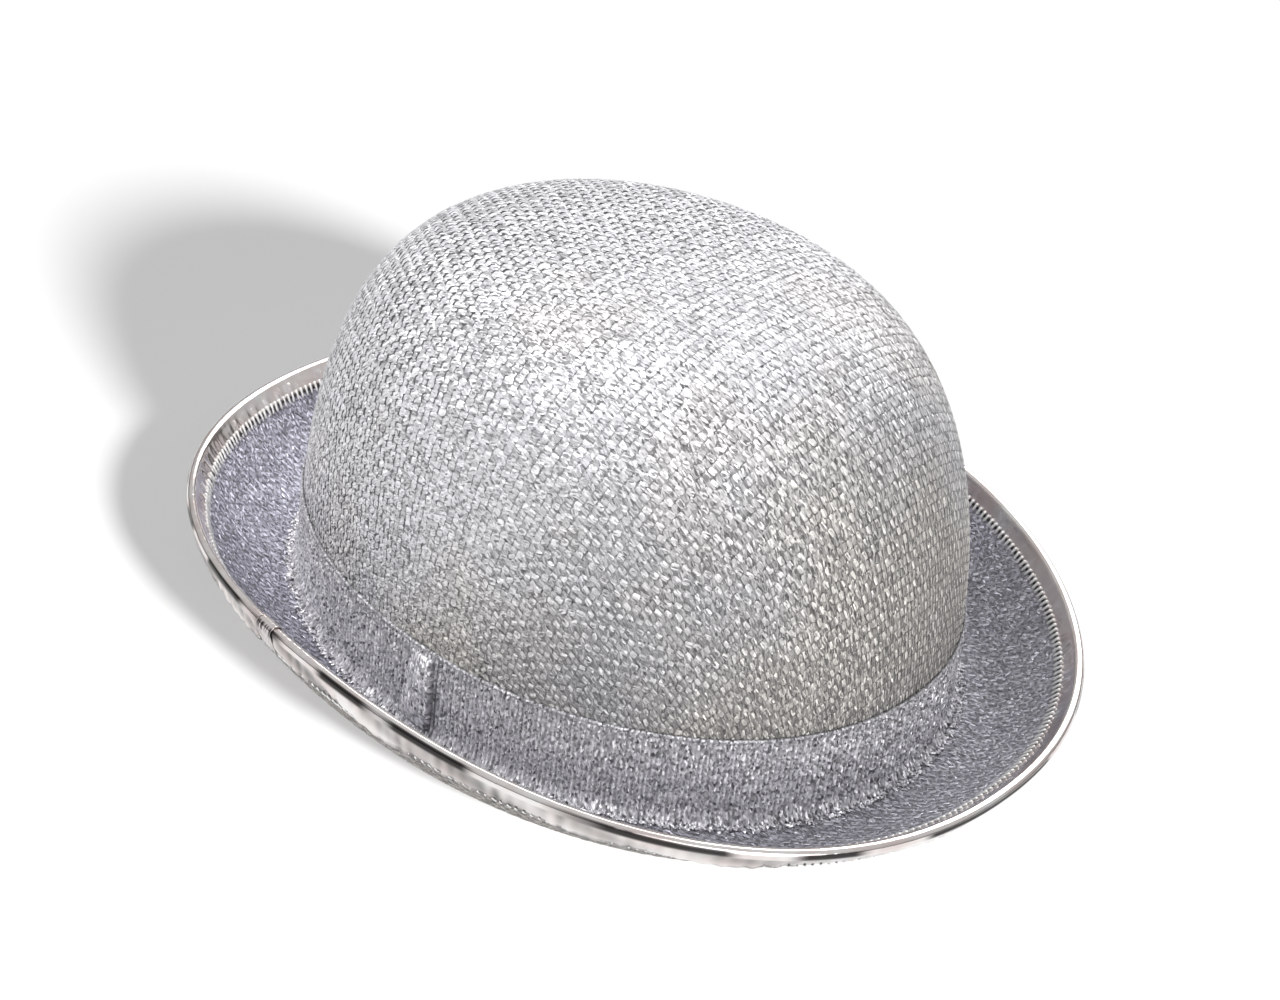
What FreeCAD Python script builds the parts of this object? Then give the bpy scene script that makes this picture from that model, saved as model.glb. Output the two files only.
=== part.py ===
"""Bowler hat: a covered costume bowler, built as the separate pieces it is sewn from.

Frame, in millimetres: +Z up, the front of the hat faces -Y, the wearer's left is +X.
The origin is on the surface that the hat stands on, under the middle of the brim.
Angles round the hat are in degrees from the front, rising towards the wearer's left.

Two families of shapes make every piece.  Crown layers are nested domes, each a set
distance inside the outer face of the crown cover.  Brim layers follow one section
curve, which leaves the head line flat and curls up to the rim, each a set distance
above or below the middle of the brim board.
"""
import FreeCAD, Part
import math
import os

# ---- driving dimensions -------------------------------------------------------------
# Crown, measured on the outer face of its cover at the head line.
CROWN_HALF_LENGTH = 105.0
CROWN_HALF_WIDTH = 86.5
CROWN_HEIGHT = 116.0        # above the top face of the brim
CROWN_PLAN_POWER = 2.05     # 2 is an ellipse, more is squarer
CROWN_SIDE_POWER = 3.7      # roundness of the shoulder, seen from the side
CROWN_TOP_POWER = 2.42

# Brim, measured on the outside of the bead that edges it.
BRIM_HALF_LENGTH = 139.6
BRIM_HALF_WIDTH = 114.8
BRIM_PLAN_POWER = 2.16
RIM_HEIGHT = 23.5           # mean height of the wire above the middle of the board
RIM_RISE = 4.6              # the sides stand this much higher, front and back lower
SIDE_CURL = 78.0            # slope of the brim where it meets the wire, in degrees
END_CURL = 50.0
CURL_HANDLE = 0.52          # length of the steep part, as a share of the rim height
FLAT_HANDLE = 0.45          # length of the flat part, as a share of the brim width

# Thicknesses.
KNIT = 0.6                  # knitted cover on the crown
FORMER = 1.5                # moulded crown former
COLLAR = 1.0                # upstanding collar of the brim board, inside the crown
SWEATBAND = 0.8
BOARD = 1.6                 # moulded brim board
BRIM_KNIT = 0.5             # knitted covers on the brim
TAPE = 0.2                  # foil binding tape
BAND = 0.9                  # hat band
LINING = 0.4
THREAD = 0.5
CLEARANCE = 0.1             # between pieces that lie on each other without glue

# Wires.
EDGE_WIRE_RADIUS = 0.8
HEAD_WIRE_RADIUS = 0.6
FERRULE_RADIUS = 1.15
FERRULE_LENGTH = 16.0

# Heights and widths of the trim.
BAND_HEIGHT = 27.2
BINDING_TOP = 6.0           # width of the tape on the top face
BINDING_UNDER = 6.5
STITCH_LINE = 5.0           # distance of the tape's stitches from the wire
SWEATBAND_HEIGHT = 31.5
COLLAR_HEIGHT = 8.0
LINING_TURN = 80.0          # height where the side lining meets the tip
JOIN_ANGLE = 96.0           # where the ends of the hat band meet
JOIN_WIDTH = 9.0
JOIN_BULGE = 1.5
SEAM_TAPE_WIDTH = 12.0
LAP_ANGLE = 79.0            # where the tape ends
LAP_LENGTH = 7.0
LABEL_WIDTH = 22.0
LABEL_DROP = 20.0
LABEL_THICKNESS = 0.5
LABEL_ROLL_RADIUS = 0.3

POINTS_ROUND = 48           # points on each closed level curve
CROWN_LEVELS = 9            # levels up the wall, and as many again over the top
BRIM_LEVELS = 9

# ---- derived places -----------------------------------------------------------------
BOARD_MIDDLE = BRIM_KNIT + BOARD / 2
BOARD_TOP = BRIM_KNIT + BOARD
BRIM_TOP = BOARD_TOP + BRIM_KNIT
STACK = BOARD / 2 + BRIM_KNIT               # half the thickness of the covered brim
BEAD_RADIUS = STACK + CLEARANCE + TAPE
EDGE_GAP = FERRULE_RADIUS + 0.1             # the board stops this far short of the wire

# Distances inside the outer face of the crown cover.
FORMER_OUT = KNIT
FORMER_IN = KNIT + FORMER
COLLAR_IN = FORMER_IN + COLLAR
SWEAT_OUT = COLLAR_IN + CLEARANCE
SWEAT_IN = SWEAT_OUT + SWEATBAND
SEAM_TAPE_IN = SWEAT_IN + 0.4
LINING_OUT = FORMER_IN
LINING_IN = LINING_OUT + LINING

SWEAT_LOW = 0.5
SWEAT_TOP = SWEAT_LOW + SWEATBAND_HEIGHT
LABEL_HINGE_Z = 27.0
LABEL_HINGE_Y = 98.6


def vec(x, y, z):
    return FreeCAD.Vector(x, y, z)


def plan_radius(angle, half_length, half_width, power):
    """Distance from the axis to a super-ellipse, at an angle from the front."""
    along = abs(math.cos(angle)) / half_length
    across = abs(math.sin(angle)) / half_width
    return (along ** power + across ** power) ** (-1.0 / power)


def angles_round():
    return [2 * math.pi * i / POINTS_ROUND for i in range(POINTS_ROUND)]


def level(point_at):
    """A closed smooth wire through point_at(angle), all round the hat."""
    curve = Part.BSplineCurve()
    curve.interpolate([point_at(angle) for angle in angles_round()], True)
    return Part.Wire([curve.toShape()])


# ---- crown layers -------------------------------------------------------------------
def crown_outline(inset, shrink, height):
    """Level wire of a crown layer: its base outline, shrunk by a factor, at a height."""
    half_length = CROWN_HALF_LENGTH - inset
    half_width = CROWN_HALF_WIDTH - inset

    def point_at(angle):
        radius = shrink * plan_radius(angle, half_length, half_width, CROWN_PLAN_POWER)
        return vec(radius * math.sin(angle), -radius * math.cos(angle), height)

    return level(point_at)


def crown_shrink(inset, height):
    """How much narrower a crown layer is at a height than at the head line."""
    top = CROWN_HEIGHT - inset
    share = max(0.0, height - BRIM_TOP) / top
    return (1 - share ** CROWN_TOP_POWER) ** (1 / CROWN_SIDE_POWER)


def crown_ring_solid(inset, low, high, steps=4):
    """Solid plug of a crown layer between two heights."""
    heights = [low + (high - low) * i / steps for i in range(steps + 1)]
    wires = [crown_outline(inset, crown_shrink(inset, z), z) for z in heights]
    return Part.makeLoft(wires, True, False)


def crown_ring(outer, inner, low, high):
    """Band of a crown layer, between two insets and two heights."""
    plug = crown_ring_solid(inner, low - 1, high + 1)
    return crown_ring_solid(outer, low, high).cut(plug)


def dome(inset, base):
    """Solid dome of a crown layer, from a base height to its top."""
    top = CROWN_HEIGHT - inset
    wall_share = 0.78
    wires = [crown_outline(inset, 1.0, base)]
    for i in range(1, CROWN_LEVELS + 1):
        height = BRIM_TOP + wall_share * top * i / CROWN_LEVELS
        wires.append(crown_outline(inset, crown_shrink(inset, height), height))
    shoulder = (1 - wall_share ** CROWN_TOP_POWER) ** (1 / CROWN_SIDE_POWER)
    for i in range(1, CROWN_LEVELS):
        shrink = shoulder * (1 - i / CROWN_LEVELS)
        share = (1 - shrink ** CROWN_SIDE_POWER) ** (1 / CROWN_TOP_POWER)
        wires.append(crown_outline(inset, shrink, BRIM_TOP + share * top))
    apex = Part.Vertex(vec(0, 0, BRIM_TOP + top))
    return Part.makeLoft(wires + [apex], True, False)


def crown_shell(outer, inner, base):
    return dome(outer, base).cut(dome(inner, base - 5))


# ---- brim layers --------------------------------------------------------------------
class Section:
    """Radial section of the brim at one angle: out from the head line, and up."""

    def __init__(self, angle):
        self.angle = angle
        self.start = plan_radius(angle, CROWN_HALF_LENGTH, CROWN_HALF_WIDTH,
                                 CROWN_PLAN_POWER)
        rim = plan_radius(angle, BRIM_HALF_LENGTH, BRIM_HALF_WIDTH, BRIM_PLAN_POWER)
        width = rim - BEAD_RADIUS - self.start
        side = (1 - math.cos(2 * angle)) / 2      # 1 at the sides, 0 front and back
        height = RIM_HEIGHT + RIM_RISE * (2 * side - 1)
        curl = math.radians(END_CURL + (SIDE_CURL - END_CURL) * side)
        self.handle = CURL_HANDLE * height
        self.outs = [0, FLAT_HANDLE * width,
                     width - self.handle * math.cos(curl), width]
        self.ups = [0, 0, height - self.handle * math.sin(curl), height]

    def middle(self, t):
        """Point on the middle of the board, and the outward slope there."""
        weights = [(1 - t) ** 3, 3 * t * (1 - t) ** 2, 3 * t * t * (1 - t), t ** 3]
        rates = [(1 - t) ** 2, 2 * t * (1 - t), t * t]
        out = sum(w * p for w, p in zip(weights, self.outs))
        up = sum(w * p for w, p in zip(weights, self.ups))
        run = sum(r * (b - a) for r, a, b in zip(rates, self.outs, self.outs[1:]))
        rise = sum(r * (b - a) for r, a, b in zip(rates, self.ups, self.ups[1:]))
        return out, up, math.atan2(rise, run)

    def place(self, out, up):
        radius = self.start + out
        return vec(radius * math.sin(self.angle), -radius * math.cos(self.angle),
                   BOARD_MIDDLE + up)

    def layer(self, t, offset):
        """Point at a distance above the middle of the board."""
        out, up, slope = self.middle(t)
        return self.place(out - offset * math.sin(slope), up + offset * math.cos(slope))

    def before_rim(self, distance):
        """Curve parameter at a small distance short of the wire."""
        return 1 - distance / (3 * self.handle)

    def bead(self, radius, turn):
        """Point round the wire: turn is 0 on top, 90 outermost, 180 underneath."""
        out, up, slope = self.middle(1)
        tilt = slope + math.pi / 2 - math.radians(turn)
        return self.place(out + radius * math.cos(tilt), up + radius * math.sin(tilt))


def brim_levels(offset, short, inner_inset):
    """Level wires of a brim face, from its inner edge out to near the wire."""
    def flat(angle):
        section = Section(angle)
        return section.place(-inner_inset, offset)

    def curled(share):
        def point_at(angle):
            section = Section(angle)
            return section.layer(share * section.before_rim(short), offset)
        return level(point_at)

    wires = [level(flat)]
    if inner_inset > 0:
        wires.append(curled(0))
    return wires + [curled(i / BRIM_LEVELS) for i in range(1, BRIM_LEVELS + 1)]


def skin(wires):
    """Smooth faces through level wires."""
    return Part.makeLoft(wires, False, False).Faces


def strip(first, second):
    """Ruled face that joins two level wires."""
    return [Part.makeRuledSurface(first.Edges[0], second.Edges[0])]


def flat_ring(inner, outer):
    """Plane face between two level wires at one height."""
    return Part.Face(outer).cut(Part.Face(inner)).Faces


def sewn(faces):
    """Solid inside a closed set of faces."""
    quilt = Part.makeCompound(faces)
    quilt.sewShape()
    return Part.makeSolid(quilt.Shells[0])


def brim_layer(low, high, short, inner_inset):
    """Layer of the brim between two offsets from the middle of the board."""
    under = brim_levels(low, short, inner_inset)
    over = brim_levels(high, short, inner_inset)
    first_curled = 1 if inner_inset > 0 else 0
    faces = skin(under[first_curled:]) + skin(over[first_curled:])
    if inner_inset > 0:
        faces += flat_ring(under[0], under[1]) + flat_ring(over[0], over[1])
    faces += strip(under[0], over[0]) + strip(under[-1], over[-1])
    return sewn(faces)


def tape_levels(radius):
    """Level wires round the edge of the brim: top face, bead and underside."""
    def on_face(distance, offset):
        def point_at(angle):
            section = Section(angle)
            return section.layer(section.before_rim(distance), offset)
        return level(point_at)

    def on_bead(turn):
        return level(lambda angle: Section(angle).bead(radius, turn))

    top = [on_face(BINDING_TOP * i / 3, radius) for i in (3, 2, 1)]
    bead = [on_bead(30.0 * i) for i in range(7)]
    under = [on_face(BINDING_UNDER * i / 3, -radius) for i in (1, 2, 3)]
    return top + bead + under


def binding_tape(inner_radius, outer_radius):
    """Tape folded over the edge of the brim, made of strips between level wires."""
    inner = tape_levels(inner_radius)
    outer = tape_levels(outer_radius)
    faces = strip(inner[0], outer[0]) + strip(inner[-1], outer[-1])
    for levels in (inner, outer):
        for first, second in zip(levels, levels[1:]):
            faces += strip(first, second)
    return sewn(faces)


def tube_round_edge(centre_at, radius):
    """Round tube that follows the rim; centre_at gives its place in a section."""
    def at(turn):
        def point_at(angle):
            section = Section(angle)
            out, up = centre_at(section)
            return section.place(out + radius * math.cos(turn),
                                 up + radius * math.sin(turn))
        return level(point_at)

    upper = [at(math.radians(36 * i)) for i in range(6)]
    lower = [at(math.radians(180 + 36 * i)) for i in range(6)]
    return sewn(skin(upper) + skin(lower))


def bar_on_tape(distance):
    """Square thread that lies on the tape, its middle a distance short of the wire."""
    def corner(sideways, above):
        def point_at(angle):
            section = Section(angle)
            t = section.before_rim(distance + sideways)
            return section.layer(t, BEAD_RADIUS + CLEARANCE + above)
        return level(point_at)

    half = THREAD / 2
    corners = [corner(-half, 0), corner(half, 0), corner(half, THREAD), corner(-half, THREAD)]
    faces = []
    for first, second in zip(corners, corners[1:] + corners[:1]):
        faces += strip(first, second)
    return sewn(faces)


def ring_along(path, radius):
    """Round wire that follows a closed level wire."""
    curve = path.Edges[0].Curve
    first = path.Edges[0].FirstParameter
    centre = curve.value(first)
    tangent = curve.tangent(first)[0]
    profile = Part.Wire([Part.makeCircle(radius, centre, tangent)])
    return path.makePipeShell([profile], True, True)


# ---- cutters ------------------------------------------------------------------------
def upright_block(angle, width, low, high):
    """Block that stands across the crown wall, at an angle from the front."""
    reach = 40.0
    depth = BRIM_HALF_LENGTH
    block = Part.makeBox(width, depth, high - low, vec(-width / 2, reach, low))
    block.rotate(vec(0, 0, 0), vec(0, 0, 1), angle + 180)
    return block


def only(shape):
    """The single solid inside the result of a cut."""
    return shape.Solids[0]


# ---- pieces: the crown --------------------------------------------------------------
def crown_former():
    return only(crown_shell(FORMER_OUT, FORMER_IN, BOARD_TOP + 2 * HEAD_WIRE_RADIUS))


def crown_cover():
    return only(crown_shell(0, FORMER_OUT, BOARD_TOP))


def head_wire():
    path = crown_outline(FORMER_OUT + FORMER / 2, 1.0, BOARD_TOP + HEAD_WIRE_RADIUS)
    return ring_along(path, HEAD_WIRE_RADIUS)


def head_collar():
    return only(crown_ring(FORMER_IN, COLLAR_IN, BOARD_TOP, BOARD_TOP + COLLAR_HEIGHT))


# ---- pieces: the brim ---------------------------------------------------------------
def brim_board():
    return brim_layer(-BOARD / 2, BOARD / 2, EDGE_GAP, COLLAR_IN)


def brim_top_cover():
    return brim_layer(BOARD / 2, STACK, EDGE_GAP, 0)


def brim_under_cover():
    return brim_layer(-STACK, -BOARD / 2, EDGE_GAP, SWEAT_IN)


def edge_wire():
    return tube_round_edge(lambda section: section.middle(1)[:2], EDGE_WIRE_RADIUS)


def wire_ferrule():
    """Crimped tube over the two ends of the edge wire, at the back."""
    half = FERRULE_LENGTH / 2 / BRIM_HALF_LENGTH
    points = [Section(math.pi + half * i / 3).bead(0, 0) for i in range(-3, 4)]
    curve = Part.BSplineCurve()
    curve.interpolate(points)
    path = Part.Wire([curve.toShape()])
    tangent = curve.tangent(curve.FirstParameter)[0]

    def rod(radius):
        profile = Part.Wire([Part.makeCircle(radius, points[0], tangent)])
        return path.makePipeShell([profile], True, True)

    return only(rod(FERRULE_RADIUS).cut(rod(EDGE_WIRE_RADIUS + CLEARANCE)))


def edge_binding():
    return binding_tape(STACK + CLEARANCE, BEAD_RADIUS)


def binding_lap():
    """Turned end of the tape, lapped over its start as far as the stitches."""
    low = BEAD_RADIUS + CLEARANCE
    high = low + TAPE

    def outline(angle):
        section = Section(angle)

        def on_face(distance, offset):
            return section.layer(section.before_rim(distance), offset)

        def side(radius):
            top = [on_face((STITCH_LINE - THREAD) * i / 3, radius) for i in (3, 2, 1)]
            bead = [section.bead(radius, 30 * i) for i in range(7)]
            under = [on_face(BINDING_UNDER * i / 3, -radius) for i in (1, 2, 3)]
            return top + bead + under

        corners = side(high) + side(low)[::-1]
        return Part.makePolygon(corners + corners[:1])

    middle = math.radians(LAP_ANGLE)
    half = LAP_LENGTH / 2 / BRIM_HALF_WIDTH
    return Part.makeLoft([outline(middle + half * i / 2) for i in range(-2, 3)],
                         True, True)


def binding_thread():
    """Line of lockstitch along the inner edge of the tape."""
    return bar_on_tape(STITCH_LINE)


# ---- pieces: the hat band -----------------------------------------------------------
def hat_band():
    ring = crown_ring(-BAND, 0, BRIM_TOP, BRIM_TOP + BAND_HEIGHT)
    gap = 1.0
    cutter = upright_block(JOIN_ANGLE, gap, 0, 2 * BAND_HEIGHT)
    return only(ring.cut(cutter))


def band_join():
    """Gathered fold that wraps the two ends of the band."""
    margin = 0.4
    ring = crown_ring(-BAND - JOIN_BULGE, -BAND, BRIM_TOP + margin,
                      BRIM_TOP + BAND_HEIGHT - margin)
    block = upright_block(JOIN_ANGLE, JOIN_WIDTH, 0, 2 * BAND_HEIGHT)
    return only(ring.common(block))


def band_tacks():
    """Short thread bars that hold the fold to the band, in two upright rows."""
    heights = [BRIM_TOP + BAND_HEIGHT * share for share in (0.15, 0.38, 0.62, 0.85)]
    spread = (JOIN_WIDTH + THREAD) / 2 / CROWN_HALF_WIDTH
    tacks = []
    for side in (-1, 1):
        for height in heights:
            bar = 2.4
            ring = crown_ring(-BAND - THREAD, -BAND, height, height + bar)
            block = upright_block(JOIN_ANGLE + side * math.degrees(spread), THREAD,
                                  0, 2 * BAND_HEIGHT)
            tacks.append(only(ring.common(block)))
    return Part.makeCompound(tacks)


# ---- pieces: inside the crown -------------------------------------------------------
def sweatband():
    ring = crown_ring(SWEAT_OUT, SWEAT_IN, SWEAT_LOW, SWEAT_TOP)
    gap = 0.4
    cutter = upright_block(180, gap, -1, 2 * SWEATBAND_HEIGHT)
    return only(ring.cut(cutter))


def sweatband_seam_tape():
    """Strip that backs the butted ends of the sweatband, on its inner face."""
    ring = crown_ring(SWEAT_IN, SEAM_TAPE_IN, SWEAT_LOW + 1, SWEAT_TOP)
    block = upright_block(180, SEAM_TAPE_WIDTH, -1, 2 * SWEATBAND_HEIGHT)
    return only(ring.common(block))


def sweatband_thread():
    """Line of stitches that holds the sweatband to the head line."""
    low = SWEAT_LOW + 3.0
    outer = SWEAT_IN + CLEARANCE
    ring = crown_ring(outer, outer + THREAD, low, low + THREAD)
    cutter = upright_block(180, SEAM_TAPE_WIDTH + 4 * CLEARANCE, -1, SWEATBAND_HEIGHT)
    return only(ring.cut(cutter))


def lining_side():
    behind_band = 6.0
    return only(crown_ring(LINING_OUT, LINING_IN, SWEAT_TOP - behind_band, LINING_TURN))


def lining_tip():
    shell = crown_shell(LINING_OUT, LINING_IN, BOARD_TOP)
    size = 2 * BRIM_HALF_LENGTH
    above = Part.makeBox(size, size, size, vec(-size / 2, -size / 2, LINING_TURN))
    return only(shell.common(above))


def lining_piping():
    """Piped seam between the side lining and the tip."""
    outer = LINING_IN + CLEARANCE
    return only(crown_ring(outer, outer + 2 * LINING,
                           LINING_TURN - LINING, LINING_TURN + LINING))


def care_label_root():
    """Sewn-down head of the care label, on the sweatband seam."""
    gap = 0.3
    low = LABEL_HINGE_Z + LABEL_ROLL_RADIUS + gap
    front = LABEL_HINGE_Y - LABEL_ROLL_RADIUS
    pad = Part.makeBox(LABEL_WIDTH, CROWN_HALF_LENGTH - front, SWEAT_TOP - low - gap,
                       vec(-LABEL_WIDTH / 2, front, low))
    return only(pad.common(crown_ring_solid(SEAM_TAPE_IN, 0, SWEAT_TOP + 1)))


def care_label():
    """Blank label: a rolled top edge, and the flap that hangs from it."""
    roll = Part.makeCylinder(LABEL_ROLL_RADIUS, LABEL_WIDTH,
                             vec(-LABEL_WIDTH / 2, LABEL_HINGE_Y, LABEL_HINGE_Z),
                             vec(1, 0, 0))
    flap = Part.makeBox(LABEL_WIDTH, LABEL_THICKNESS, LABEL_DROP,
                        vec(-LABEL_WIDTH / 2, LABEL_HINGE_Y - LABEL_THICKNESS / 2,
                            LABEL_HINGE_Z - LABEL_DROP))
    return only(roll.fuse(flap))


PIECES = [
    crown_former, crown_cover, head_wire, head_collar,
    brim_board, brim_top_cover, brim_under_cover,
    edge_wire, wire_ferrule, edge_binding, binding_lap, binding_thread,
    hat_band, band_join, band_tacks,
    sweatband, sweatband_seam_tape, sweatband_thread,
    lining_side, lining_tip, lining_piping,
    care_label_root, care_label,
]


def main():
    os.makedirs("parts", exist_ok=True)
    for piece in PIECES:
        shape = piece()
        shape.exportStep("parts/" + piece.__name__ + ".step")
        print(piece.__name__, shape.ShapeType, len(shape.Solids), shape.isValid(),
              round(shape.Volume, 1))


main()
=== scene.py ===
"""Looks of a covered costume bowler hat: metallic knit, ribbed band and mirror foil edge.

Lengths are in millimetres here, and become metres where a mesh is made.  Angles go
round the hat from the front, which faces -Y, towards the wearer's left, +X.
"""
import math

import bpy
import numpy as np
from mathutils import Matrix, Vector


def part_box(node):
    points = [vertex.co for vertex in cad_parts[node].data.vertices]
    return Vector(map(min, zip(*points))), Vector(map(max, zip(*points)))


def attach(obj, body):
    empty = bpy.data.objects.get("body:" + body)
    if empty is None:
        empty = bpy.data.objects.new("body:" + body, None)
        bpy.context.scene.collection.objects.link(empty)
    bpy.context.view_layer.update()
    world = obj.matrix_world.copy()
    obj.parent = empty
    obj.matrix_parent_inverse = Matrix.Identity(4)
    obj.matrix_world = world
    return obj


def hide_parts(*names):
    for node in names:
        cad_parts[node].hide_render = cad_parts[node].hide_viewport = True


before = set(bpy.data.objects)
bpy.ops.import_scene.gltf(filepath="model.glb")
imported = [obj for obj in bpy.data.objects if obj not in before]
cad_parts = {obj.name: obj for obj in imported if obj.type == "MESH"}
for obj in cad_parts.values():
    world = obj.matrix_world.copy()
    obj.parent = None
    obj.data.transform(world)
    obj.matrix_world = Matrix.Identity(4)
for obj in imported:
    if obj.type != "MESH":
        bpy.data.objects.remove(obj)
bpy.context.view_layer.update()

MM = 0.001
TURN = 2 * math.pi


def node_size(node):
    """Size of a CAD node's box, in millimetres."""
    low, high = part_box(node)
    return [(high[i] - low[i]) / MM for i in range(3)]


def node_heights(node):
    """Lowest and highest point of a CAD node, in millimetres."""
    return [corner[2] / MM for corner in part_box(node)]


# ---- sizes from the frame -----------------------------------------------------------
crown_size = node_size("crown_cover")
band_size = node_size("hat_band")

# Crown, on the outer face of its cover at the head line.
CROWN_HALF_LENGTH = crown_size[1] / 2
CROWN_HALF_WIDTH = crown_size[0] / 2
BOARD_BOTTOM = node_heights("brim_board")[0]
BOARD_TOP, COVER_TOP = node_heights("crown_cover")
BOARD = BOARD_TOP - BOARD_BOTTOM
BOARD_MIDDLE = (BOARD_TOP + BOARD_BOTTOM) / 2
BRIM_TOP = node_heights("hat_band")[0]
BRIM_KNIT = BRIM_TOP - BOARD_TOP
BAND_HEIGHT = band_size[2]
CROWN_HEIGHT = COVER_TOP - BRIM_TOP

# The rest of the design that the frame's boxes don't give.
CROWN_PLAN_POWER = 2.05
CROWN_SIDE_POWER = 3.7
CROWN_TOP_POWER = 2.42
BRIM_HALF_LENGTH = 139.6
BRIM_HALF_WIDTH = 114.8
BRIM_PLAN_POWER = 2.16
RIM_HEIGHT = 23.5
RIM_RISE = 4.6
SIDE_CURL = math.radians(78.0)
END_CURL = math.radians(50.0)
CURL_HANDLE = 0.52
FLAT_HANDLE = 0.45
TAPE_STANDOFF = 0.3         # clearance and thickness of the foil tape
BEAD_RADIUS = BOARD / 2 + BRIM_KNIT + TAPE_STANDOFF
BAND = 0.9
JOIN_ANGLE = math.radians(96.0)
LAP_ANGLE = math.radians(79.0)


# ---- number helpers -----------------------------------------------------------------
def plan_radius(angle, half_length, half_width, power):
    """Radius of a superellipse round the hat."""
    along = np.abs(np.cos(angle)) / half_length
    across = np.abs(np.sin(angle)) / half_width
    return (along ** power + across ** power) ** (-1.0 / power)


def lookup(table, row, column):
    """Bilinear reading of a table at fractional rows and columns."""
    row = np.clip(row, 0, table.shape[0] - 1.001)
    column = np.clip(column, 0, table.shape[1] - 1.001)
    r, c = row.astype(int), column.astype(int)
    fr, fc = row - r, column - c
    top = table[r, c] * (1 - fc) + table[r, c + 1] * fc
    low = table[r + 1, c] * (1 - fc) + table[r + 1, c + 1] * fc
    return top * (1 - fr) + low * fr


def smoothstep(low, high, x):
    """Soft step from 0 at low to 1 at high."""
    t = np.clip((x - low) / (high - low), 0, 1)
    return t * t * (3 - 2 * t)


def unit(vectors):
    """Vectors scaled to a length of 1."""
    return vectors / np.maximum(np.linalg.norm(vectors, axis=-1, keepdims=True), 1e-9)


def running_length(steps):
    """Length so far at each point of a line, from the lengths of its steps."""
    return np.concatenate([[0], np.cumsum(steps)])


# ---- the crown as a sheet of cloth --------------------------------------------------
class Crown:
    """Outer face of the crown, laid out flat from its apex.

    A place on the cloth is (u, v) in millimetres.  The distance from the origin is the
    length along the dome from its apex, and the direction is the angle round the hat.
    """
    ROWS = 24
    COLUMNS = 400

    def __init__(self, inset=0.0):
        self.half_length = CROWN_HALF_LENGTH - inset
        self.half_width = CROWN_HALF_WIDTH - inset
        self.top = CROWN_HEIGHT - inset
        bend = np.linspace(0, math.pi / 2, 900)
        shrink = np.sin(bend) ** (2 / CROWN_SIDE_POWER)
        height = BRIM_TOP + self.top * np.cos(bend) ** (2 / CROWN_TOP_POWER)
        self.radii = np.linspace(self.half_width * 0.98, self.half_length * 1.02, self.ROWS)
        shares = np.linspace(0, 1, self.COLUMNS)
        self.shrinks, self.heights, self.lengths = [], [], []
        for radius in self.radii:
            run = running_length(np.hypot(np.diff(shrink) * radius, np.diff(height)))
            self.shrinks.append(np.interp(shares * run[-1], run, shrink))
            self.heights.append(np.interp(shares * run[-1], run, height))
            self.lengths.append(run[-1])
        self.shrinks = np.array(self.shrinks)
        self.heights = np.array(self.heights)
        self.lengths = np.array(self.lengths)

    def radius(self, angle):
        return plan_radius(angle, self.half_length, self.half_width, CROWN_PLAN_POWER)

    def start(self, angle):
        """Distance from the origin of the cloth at which the dome starts."""
        return np.zeros_like(angle)

    def length(self, angle):
        """Length of cloth from the apex down to the head line."""
        return np.interp(self.radius(angle), self.radii, self.lengths)

    def bare(self, u, v):
        """Points of the crown's outer face at cloth places (u, v)."""
        angle = np.arctan2(u, -v)
        radius = self.radius(angle)
        share = np.hypot(u, v) / self.length(angle)
        row = (radius - self.radii[0]) / (self.radii[-1] - self.radii[0]) * (self.ROWS - 1)
        column = share * (self.COLUMNS - 1)
        out = lookup(self.shrinks, row, column) * radius
        height = lookup(self.heights, row, column)
        height = np.where(share > 1, BRIM_TOP - (share - 1) * self.length(angle), height)
        return np.stack([out * np.sin(angle), -out * np.cos(angle), height], -1)

    def share_at_height(self, angle, height):
        """Share of the way from apex to head line at which the cloth is that high."""
        row = (self.radius(angle) - self.radii[0]) / (self.radii[-1] - self.radii[0])
        r = int(round(float(row) * (self.ROWS - 1)))
        shares = np.linspace(0, 1, self.COLUMNS)
        return float(np.interp(-height, -self.heights[r], shares))


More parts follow.
